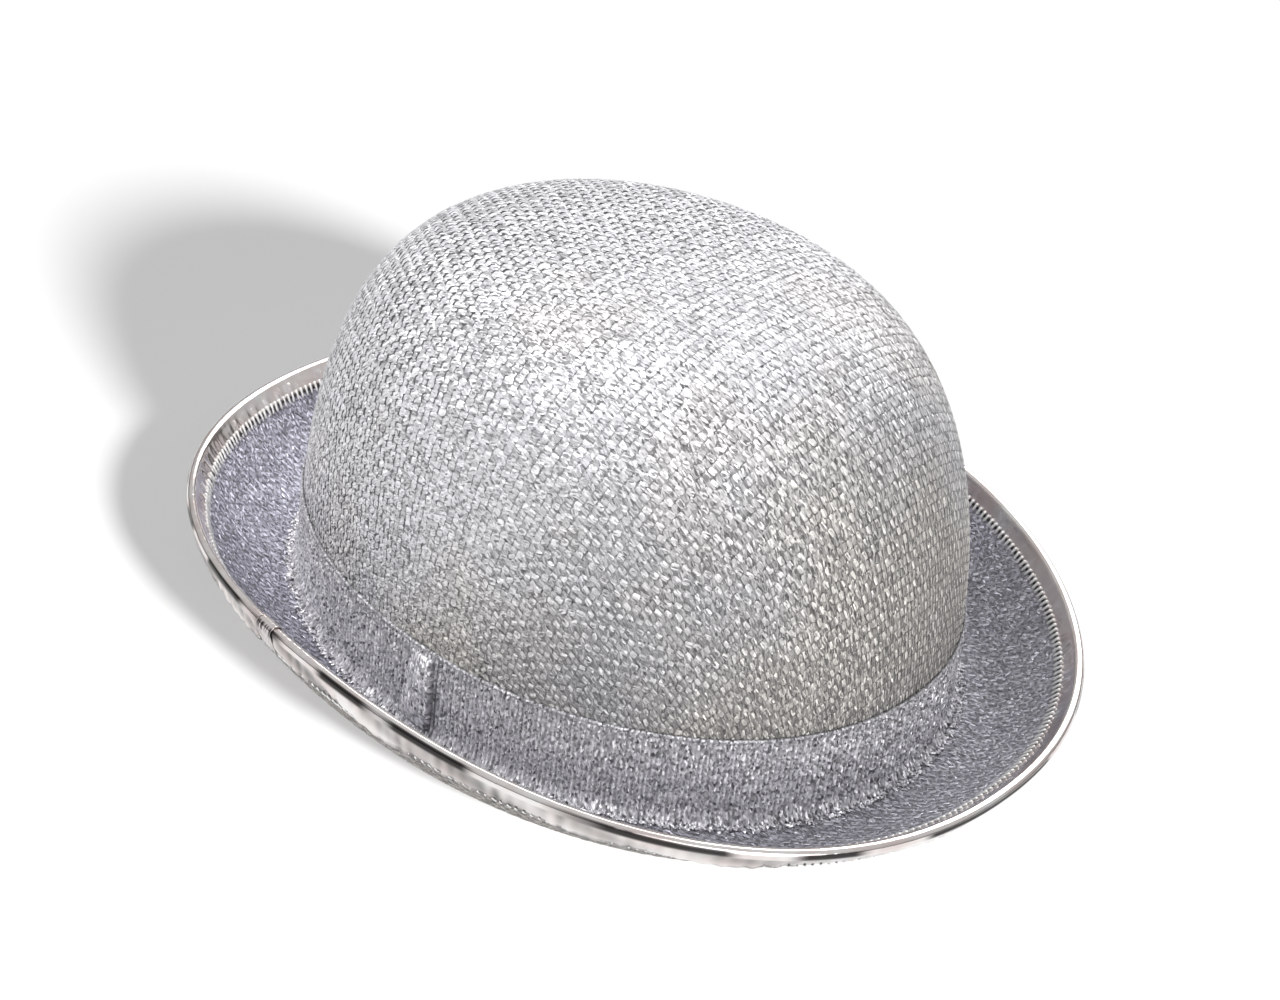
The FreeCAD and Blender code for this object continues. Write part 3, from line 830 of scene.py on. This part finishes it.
def capsule(a, b, radius, sides=6):
    """Points and faces of a closed thread bar between two points, with round ends."""
    a, b = np.asarray(a, float), np.asarray(b, float)
    axis = unit(b - a)
    side = unit(np.cross(axis, [0, 0, 1.0] if abs(axis[2]) < 0.9 else [1.0, 0, 0]))
    other = np.cross(axis, side)
    points = [a - axis * radius]
    for share, push, wide in CAPSULE_STATIONS:
        for k in range(sides):
            turn = TURN * k / sides
            points.append(a + (b - a) * share + axis * push * radius
                          + (side * math.cos(turn) + other * math.sin(turn)) * radius * wide)
    points.append(b + axis * radius)
    faces = []
    for k in range(sides):
        n = (k + 1) % sides
        faces.append((0, 1 + n, 1 + k))
        for ring in range(3):
            low, high = 1 + ring * sides, 1 + (ring + 1) * sides
            faces.append((low + k, low + n, high + n, high + k))
        top = 1 + 3 * sides
        faces.append((top + k, top + n, len(points) - 1))
    return np.array(points), faces


def bars(name, ends, radius, material):
    """One mesh of many separate thread bars."""
    points, faces, count = [], [], 0
    for a, b in ends:
        p, f = capsule(a, b, radius)
        points.append(p)
        faces.extend([[i + count for i in face] for face in f])
        count += len(p)
    return make_mesh(name, np.concatenate(points), faces, material)


def evenly(line_at, pitch):
    """Angles about one pitch apart along a closed line round the hat."""
    fine = np.linspace(0, TURN, 2000)
    line = np.array([line_at(a) for a in fine])
    run = running_length(np.linalg.norm(np.diff(line, axis=0), axis=1))
    count = int(run[-1] / pitch)
    return np.interp(np.arange(count) * run[-1] / count, run, fine)


def overcast(kind, near, far):
    """Ends of the stitches that cross the tape's inner edge, all round."""
    random = np.random.default_rng(41)
    angles = evenly(lambda a: edge_point(a, (kind, near), 0.2), STITCH_PITCH)
    slant = 0.5 / BRIM_HALF_LENGTH
    return [(edge_point(a, (kind, near), 0.28),
             edge_point(a + slant * random.uniform(0.4, 1.6), (kind, far), -0.12))
            for a in angles]


tape = tape_mesh("foil_edge_binding", np.linspace(0, TURN, 1100, endpoint=False), True,
                 0.0, 0.2, 1.0, 31)
lap_half = 3.4 / BRIM_HALF_WIDTH
lap = tape_mesh("foil_lap", np.linspace(LAP_ANGLE - lap_half, LAP_ANGLE + lap_half, 16),
                False, 0.42, 0.22, 0.15, 32)
top_stitches = bars("edge_stitches", overcast("top", STITCH_LINE - 0.5, TAPE_TOP + 0.9), 0.45,
                    SILVER_THREAD)
under_stitches = bars("edge_stitches_under", overcast("under", TAPE_UNDER - 1.0, TAPE_UNDER + 0.7),
                      0.3, SILVER_THREAD)


# ---- hat band -----------------------------------------------------------------------
RIB_PITCH = 1.35
RIB_DEPTH = 0.26
RIB_COLUMNS = 4
FLARE = 2.4
JOIN_HALF = 6.0


def wall_point(angle, height, lift, inset=0.0):
    """Points lifted off a crown layer's wall at a height; inset names the layer."""
    angle = np.asarray(angle, dtype=float)
    share = np.maximum(0.0, height - BRIM_TOP) / (CROWN_HEIGHT - inset)
    shrink = (1 - share ** CROWN_TOP_POWER) ** (1 / CROWN_SIDE_POWER)
    radius = lift + shrink * plan_radius(angle, CROWN_HALF_LENGTH - inset,
                                         CROWN_HALF_WIDTH - inset, CROWN_PLAN_POWER)
    return np.stack([radius * np.sin(angle), -radius * np.cos(angle),
                     height + np.zeros_like(angle)], -1)


def from_join(angle):
    """Millimetres along the band from the join."""
    return (np.asarray(angle) - JOIN_ANGLE) * CROWN_HALF_WIDTH


def band_lift(angle, height):
    """Distance of the band's outer face off the crown, without its ribs."""
    share = (height - BRIM_TOP) / BAND_HEIGHT
    near = np.exp(-(from_join(angle) / 9.0) ** 2)
    flare = FLARE * max(0.0, 1 - (height - BRIM_TOP) / 5.0) ** 2
    return BAND + 0.5 * near * math.sin(math.pi * min(1.0, share)) + flare


def band_mesh():
    """Ribbed band: upright ribs, a rolled upper edge, and a foot that flares on the brim."""
    angle = evenly(lambda a: wall_point(a, 15.0, 0.0), RIB_PITCH)
    ribs = len(angle)
    count = ribs * RIB_COLUMNS
    angle = np.interp(np.arange(count) / RIB_COLUMNS, np.arange(ribs + 1),
                      np.append(angle, TURN))
    length = ribs * RIB_PITCH
    rib = np.cos(TURN * np.arange(count) / RIB_COLUMNS)
    random = np.random.default_rng(21)
    ripple, sag, hem = [wave(random, count, 6, low, high)
                        for low, high in ((4, 30), (2, 9), (40, 110))]
    # Painted shadow: a dark line on the band just beside the join's raised edge.
    join_shadow = 1 - 0.6 * np.exp(-((from_join(angle) - JOIN_HALF - 0.5) / 0.6) ** 2)
    rows, uv, tone = [], [], []

    def add(height, lift, depth, grey):
        rows.append(wall_point(angle, height, lift + depth * RIB_DEPTH * (rib - 1)))
        uv.append(np.stack([angle / TURN * length, height + np.zeros(count)], -1))
        # Painted shade: the rib valleys are darker.
        tone.append(grey * (1 - 0.5 * depth * (1 - rib) / 2) * join_shadow)

    for share in np.linspace(0, 1, 18) ** 1.3:
        height = BRIM_TOP + 0.25 + share * (BAND_HEIGHT - 1.7)
        foot = (1 - share) ** 6
        lift = band_lift(angle, height) + 0.10 * ripple * math.sin(math.pi * share)
        # Painted shade: a darker line just under the rolled edge.
        add(height, lift + 0.35 * hem * foot, 1.0, 1.0 - 0.2 * (0.92 < share < 0.97))
    roll = 0.6
    # Painted shade on the roll: its front is grey, its top and back dark.
    for turn in np.linspace(-60, 200, 9):
        t = math.radians(turn)
        add(BAND_TOP - roll + roll * math.sin(t) + 0.2 * sag,
            BAND - 0.35 + 0.75 * roll * math.cos(t), 0.3, 0.7 if turn < 60 else 0.2)
    # Inner face against the crown, dark as painted shade.
    add(BAND_TOP - 3.0, 0.05, 0.0, 0.3)
    add(BRIM_TOP + 0.2, 0.05, 0.0, 0.3)
    return strip_mesh("ribbed_hat_band", rows, BAND_MATERIAL, uv, tone)


def join_mesh():
    """Tucked end of the band: it swells up across the join and stops at a raised edge."""
    columns, levels = 44, 40
    low, high = BRIM_TOP + 2.4, BAND_TOP - 2.6
    side = np.linspace(-1, 1, columns)
    swell = smoothstep(-1.05, 0.3, side) * (1 - smoothstep(0.84, 1.03, side))
    # Painted shadow along the fold's raised edge.
    edge_shadow = 1 - 0.85 * smoothstep(0.84, 1.0, side)
    outer, inner, uv, tone = [], [], [], []
    for share in np.linspace(0, 1, levels):
        height = low + (high - low) * share
        across = 0.9 * math.sin(2.6 * share - 0.6) + side * JOIN_HALF * (1 - 0.35 * share ** 2)
        angle = JOIN_ANGLE + across / CROWN_HALF_WIDTH
        ends = math.sin(math.pi * (0.05 + 0.92 * share)) ** 0.5
        fan = np.cos(TURN * across * (0.5 + 0.3 * share)) * 0.5 + 0.5
        pinch = 1 - 0.35 * math.exp(-((share - 0.45) / 0.14) ** 2)
        rise = ends * swell * (2.3 * pinch + 0.45 * fan)
        outer.append(wall_point(angle, height, band_lift(angle, height) - 0.15 + rise))
        inner.append(wall_point(angle, height, band_lift(angle, height) - 0.5))
        uv.append(np.stack([across + 0.35 * height, height + np.zeros(columns)], -1))
        # Painted shade: lighter on the fan's ridges, darker in its creases, and dark at the foot
        # where the fold lifts off the brim.
        tone.append((0.7 + 0.5 * fan) * edge_shadow * (0.3 + 0.7 * min(1.0, share / 0.08)))
    return strip_mesh("band_join_fold", outer + inner[::-1], BAND_MATERIAL, uv + uv[::-1],
                      tone + tone[::-1], closed=False)


def fringe_mesh():
    """Loose bright loops of yarn where the foot of the band is sewn to the brim."""
    random = np.random.default_rng(51)
    count = 1500
    angle = np.sort(random.uniform(0, TURN, count))
    run = brim_top.start(angle) + BAND + FLARE + random.normal(0.1, 0.5, count)
    turn = angle - math.pi / 2 + random.normal(0, 0.8, count)
    length, width, height, tone = [random.uniform(low, high, count) for low, high in
                                   ((1.0, 2.4), (0.5, 1.0), (0.4, 1.1), (0.7, 1.1))]
    return lay_legs("band_fringe", brim_top, run * np.sin(angle), -run * np.cos(angle), turn,
                    length, width, height, tone, 0.0, BAND_MATERIAL)


def tack_ends():
    """Short upright stitches either side of the join."""
    ends = []
    for side in (-1, 1):
        angle = JOIN_ANGLE + side * (JOIN_HALF + 0.25) / CROWN_HALF_WIDTH
        for share in (0.15, 0.38, 0.62, 0.85):
            height = BRIM_TOP + BAND_HEIGHT * share
            ends.append([wall_point(angle, z, band_lift(angle, z) + 0.05)
                         for z in (height + 0.2, height + 2.0)])
    return ends


band = band_mesh()
join = join_mesh()
fringe = fringe_mesh()
tacks = bars("band_join_tacks", tack_ends(), 0.16, THREAD_MATERIAL)


# ---- inside the crown ---------------------------------------------------------------
FORMER_IN = 2.1
SWEAT_OUT = 3.2
SWEAT_IN = 4.0
SWEAT_LOW, SWEAT_TOP = node_heights("sweatband")
SIDE_LOW, LINING_TURN = node_heights("lining_side")
BACK = math.pi


def wall_strip(name, angle, heights, inset, thick, material, swell=0.0, closed=True):
    """Strip of lining stuff inside the crown; swell is how far it stands off the wall."""
    stands = [swell * math.sin(math.pi * i / (len(heights) - 1)) for i in range(len(heights))]
    outer = [wall_point(angle, z, -stand, inset) for z, stand in zip(heights, stands)]
    inner = [wall_point(angle, z, -thick - stand, inset) for z, stand in zip(heights, stands)]
    across = np.asarray(angle) * CROWN_HALF_LENGTH
    uv = [np.stack([across, z + np.zeros_like(across)], -1) for z in heights]
    return strip_mesh(name, outer + inner[::-1], material, uv + uv[::-1],
                      np.ones((2 * len(heights), len(across))), closed)


def pleats(count, low, high, seed):
    """Uneven soft folds round the hat, from 0 to 1."""
    return 0.5 + 0.5 * np.clip(wave(np.random.default_rng(seed), count, 5, low, high), -1, 1)


sweat_gap = 0.2 / CROWN_HALF_LENGTH
sweat_angles = np.linspace(BACK + sweat_gap, BACK + TURN - sweat_gap, 300)
sweat_heights = np.linspace(SWEAT_LOW, SWEAT_TOP, 14)
sweatband = wall_strip("sweatband_leatherette", sweat_angles, sweat_heights, SWEAT_OUT,
                       SWEAT_IN - SWEAT_OUT, LEATHER, 0.15 * pleats(300, 5, 24, 61), False)
tape_half = 6.0 / CROWN_HALF_LENGTH
seam_tape = wall_strip("sweatband_tape", np.linspace(BACK - tape_half, BACK + tape_half, 20),
                       np.linspace(SWEAT_LOW + 1, SWEAT_TOP, 14), SWEAT_IN, 0.4, TWILL,
                       0.05, False)
side_angles = np.linspace(0, TURN, 480, endpoint=False)
side_lining = wall_strip("lining_side_satin", side_angles, np.linspace(SIDE_LOW, LINING_TURN, 24),
                         FORMER_IN, 0.4, SATIN, 1.1 * pleats(480, 24, 70, 62))
lining_dome = Crown(FORMER_IN)
tip_limit = np.array([lining_dome.share_at_height(a, LINING_TURN) for a in ROUND])
tip_lining = cloth_shell("lining_tip_satin", lining_dome, DOME, 0.0, 0.4, SATIN,
                         limit=tip_limit)
PIPING = 0.45
piping_rows = [wall_point(ROUND, LINING_TURN + PIPING * math.sin(t), PIPING * math.cos(t) - 0.85,
                          FORMER_IN) for t in np.linspace(0, TURN, 8, endpoint=False)]
piping = strip_mesh("lining_piping_cord", piping_rows, SATIN,
                    np.zeros((8, len(ROUND), 2)), np.ones((8, len(ROUND))))
stitch_height = SWEAT_LOW + 3.25
sweat_stitches = bars("sweatband_stitches", [
    [wall_point(end, stitch_height, -0.2, SWEAT_IN) for end in (a, a + 0.017)]
    for a in np.arange(BACK + 0.07, BACK + TURN - 0.08, 0.026)], 0.24, SILVER_THREAD)


# ---- care label ---------------------------------------------------------------------
LABEL_HALF = 11.0
HINGE_Y, HINGE_Z = 98.6, 27.0
LABEL_DROP = 20.0


def label_flap():
    """Blank satin flap: rolled over at its top, with folded hems and a curling foot."""
    x = np.linspace(-LABEL_HALF, LABEL_HALF, 33)
    hem = 0.08 * (np.abs(x) > LABEL_HALF - 1.6)
    front, back, uv = [], [], []
    for drop in np.linspace(0, LABEL_DROP, 36):
        curl = -0.9 * (drop / LABEL_DROP) ** 3 * (0.6 + 0.4 * (x / LABEL_HALF) ** 2)
        wavy = 0.1 * np.sin(0.5 * x + 0.3 * drop) * drop / LABEL_DROP
        thick = 0.17 + hem + 0.08 * (drop > LABEL_DROP - 2.0) + 0.12 * (drop < 0.6)
        y = HINGE_Y + curl + wavy
        z = HINGE_Z - drop + np.zeros_like(x)
        front.append(np.stack([x, y - thick, z], -1))
        back.append(np.stack([x, y + thick, z], -1))
        uv.append(np.stack([x, z], -1))
    return strip_mesh("care_label_flap", back + front[::-1], LABEL_SATIN, uv + uv[::-1],
                      np.ones((72, 33)), closed=False)


def label_head():
    """Sewn-down head of the label, against the seam tape."""
    x = np.linspace(-LABEL_HALF, LABEL_HALF, 23)
    angle = math.pi - x / CROWN_HALF_LENGTH
    wall = wall_point(angle, 29.0, -0.42, SWEAT_IN)[:, 1]
    front, back = [], []
    for z in np.linspace(HINGE_Z + 0.6, SWEAT_TOP - 0.3, 8):
        face = HINGE_Y - 0.08 + 0.2 * math.cos(3 * (z - HINGE_Z))
        front.append(np.stack([x, np.full_like(x, face), np.full_like(x, z)], -1))
        back.append(np.stack([x, wall, np.full_like(x, z)], -1))
    uv = [np.stack([x, row[:, 2]], -1) for row in front]
    return strip_mesh("care_label_head", front + back[::-1], LABEL_SATIN, uv + uv[::-1],
                      np.ones((16, 23)), closed=False)


label = label_flap()
label_top = label_head()


# ---- what rides where ---------------------------------------------------------------
def put(piece, body, slot, *nodes):
    """Piece rides a body and may replace nodes; slot is not used."""
    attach(piece, body)
    if nodes:
        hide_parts(*nodes)


for piece in crown_loops:
    put(piece, "hat", "crown_knit")
put(crown_knit, "hat", "crown_knit", "crown_cover")
put(brim_knit, "hat", "brim_knit", "brim_top_cover")
put(brim_loops, "hat", "brim_knit")
put(under_knit, "hat", "brim_knit", "brim_under_cover")
put(under_loops, "hat", "brim_knit")
put(band, "hat", "band_rib", "hat_band")
put(join, "hat", "band_rib", "band_join")
put(fringe, "hat", "band_rib")
put(tacks, "hat", "thread", "band_tacks")
put(tape, "hat", "foil_tape", "edge_binding")
put(lap, "hat", "foil_tape", "binding_lap")
put(top_stitches, "hat", "thread", "binding_thread")
put(under_stitches, "hat", "thread")
put(sweatband, "hat", "sweatband", "sweatband")
put(seam_tape, "hat", "sweatband", "sweatband_seam_tape")
put(sweat_stitches, "hat", "thread", "sweatband_thread")
put(side_lining, "hat", "lining", "lining_side")
put(tip_lining, "hat", "lining", "lining_tip")
put(piping, "hat", "lining", "lining_piping")
put(label_top, "hat", "label", "care_label_root")
put(label, "label", "label", "care_label")

for node, material in (("crown_former", FELT), ("head_collar", FELT), ("brim_board", FELT),
                       ("head_wire", WIRE), ("edge_wire", WIRE), ("wire_ferrule", WIRE)):
    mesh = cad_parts[node].data
    mesh.materials.clear()
    mesh.materials.append(material)


# ---- camera, light and floor --------------------------------------------------------
def direction(azimuth, elevation):
    """Unit vector from the hat towards a place, azimuth from the front towards +X."""
    a, e = math.radians(azimuth), math.radians(elevation)
    return np.array([math.sin(a) * math.cos(e), -math.cos(a) * math.cos(e), math.sin(e)])


def place_camera():
    """The photograph's viewpoint: high over the wearer's left, behind the hat."""
    back = direction(130.9, 32.64)
    forward = -back
    level = unit(np.cross(forward, [0, 0, 1]))
    above = np.cross(level, forward)
    roll = math.radians(7.12)
    right = math.cos(roll) * level + math.sin(roll) * above
    up = -math.sin(roll) * level + math.cos(roll) * above
    distance, aim_right, aim_up, aim_height = 562.2, -0.858, 13.29, 53.08
    centre = np.array([0, 0, aim_height]) + back * distance - right * aim_right - up * aim_up
    data = bpy.data.cameras.new("camera")
    data.lens = 55.19
    data.sensor_width = 36.0
    data.clip_start = 0.01
    camera = bpy.data.objects.new("camera", data)
    bpy.context.scene.collection.objects.link(camera)
    frame_of = np.eye(4)
    frame_of[:3, 0], frame_of[:3, 1], frame_of[:3, 2] = right, up, back
    frame_of[:3, 3] = centre * MM
    camera.matrix_world = Matrix(frame_of.tolist())
    bpy.context.scene.camera = camera


def add_sun(name, azimuth, elevation, strength, spread, lit, shadow=True):
    """Soft parallel light from a direction, on the pieces of one collection."""
    data = bpy.data.lights.new(name, "SUN")
    data.use_shadow = shadow
    data.energy = strength
    data.angle = math.radians(spread)
    lamp = bpy.data.objects.new(name, data)
    lamp.rotation_euler = Vector(direction(azimuth, elevation)).to_track_quat("Z", "Y").to_euler()
    bpy.context.scene.collection.objects.link(lamp)
    lamp.light_linking.receiver_collection = lit


# Brightness of the studio against height: sine of the elevation, then grey.
WORLD_GREYS = [(0.0, 0.2), (0.04, 0.05), (0.12, 0.1), (0.2, 0.48), (0.5, 0.6), (1.0, 0.7)]
MATT_SHARE = 0.22           # share of it that lights matt surfaces


def make_world():
    """Studio with dark walls low down and a pale ceiling; its backdrop is plain.

    Matt surfaces get only a share of it, so that the softboxes shape the hat.
    """
    world = bpy.data.worlds.new("studio")
    bpy.context.scene.world = world
    world.use_nodes = True
    tree = world.node_tree
    back = tree.nodes["Background"]
    place = tree.nodes.new("ShaderNodeTexCoord")
    split = tree.nodes.new("ShaderNodeSeparateXYZ")
    ramp = tree.nodes.new("ShaderNodeValToRGB")
    set_stops(ramp, WORLD_GREYS)
    tree.links.new(place.outputs["Generated"], split.inputs[0])
    tree.links.new(split.outputs["Z"], ramp.inputs["Fac"])
    seen = tree.nodes.new("ShaderNodeLightPath")
    choose = tree.nodes.new("ShaderNodeMix")
    choose.data_type = "RGBA"
    choose.inputs["B"].default_value = (0.98, 0.98, 0.98, 1)
    tree.links.new(seen.outputs["Is Camera Ray"], choose.inputs["Factor"])
    tree.links.new(ramp.outputs["Color"], choose.inputs["A"])
    tree.links.new(choose.outputs["Result"], back.inputs["Color"])
    dim = tree.nodes.new("ShaderNodeMath")
    dim.operation = "MULTIPLY_ADD"
    dim.inputs[1].default_value = MATT_SHARE - 1
    dim.inputs[2].default_value = 1.0
    tree.links.new(seen.outputs["Is Diffuse Ray"], dim.inputs[0])
    tree.links.new(dim.outputs[0], back.inputs["Strength"])


def make_floor():
    """Pale, matt floor under the hat."""
    g = Graph("pale_floor")
    grain = g.noise(g.place(3.0), 1.0, 2.0)
    color = g.mix(grain, (0.84, 0.84, 0.84, 1), (0.86, 0.86, 0.86, 1))
    material = g.finish(color, 0.9)
    size = 4000.0
    steps = np.linspace(-size, size, 9)
    x, y = np.meshgrid(steps, steps)
    points = np.stack([x, y, np.zeros_like(x)], -1).reshape(-1, 3)
    floor = make_mesh("floor", points, grid_faces(9, 9, closed=False), material)


def collect(name, objects):
    """Collection that lights are aimed at."""
    group = bpy.data.collections.new(name)
    for piece in objects:
        group.objects.link(piece)
    return group


place_camera()
make_world()
hat_pieces = [o for o in bpy.context.scene.objects if o.type == "MESH"]
make_floor()
floor_only = collect("floor_only", [bpy.data.objects["floor"]])
hat_only = collect("hat_only", hat_pieces)
cloth_only = collect("cloth_only", [o for o in hat_pieces if o not in (tape, lap)])
add_sun("shadow_key", 171, 24, 4.6, 7, floor_only)
add_sun("floor_fill", 0, 90, 1.5, 20, floor_only, shadow=False)
add_sun("softbox_left", 38, 50, 2.9, 50, cloth_only)
add_sun("softbox_front", 108, 55, 0.9, 50, cloth_only)
add_sun("softbox_right", 148, 20, 1.78, 50, hat_only)
add_sun("softbox_back", 290, 42, 2.1, 50, hat_only)

bpy.context.scene.view_settings.view_transform = "Standard"
bpy.context.scene.view_settings.look = "None"
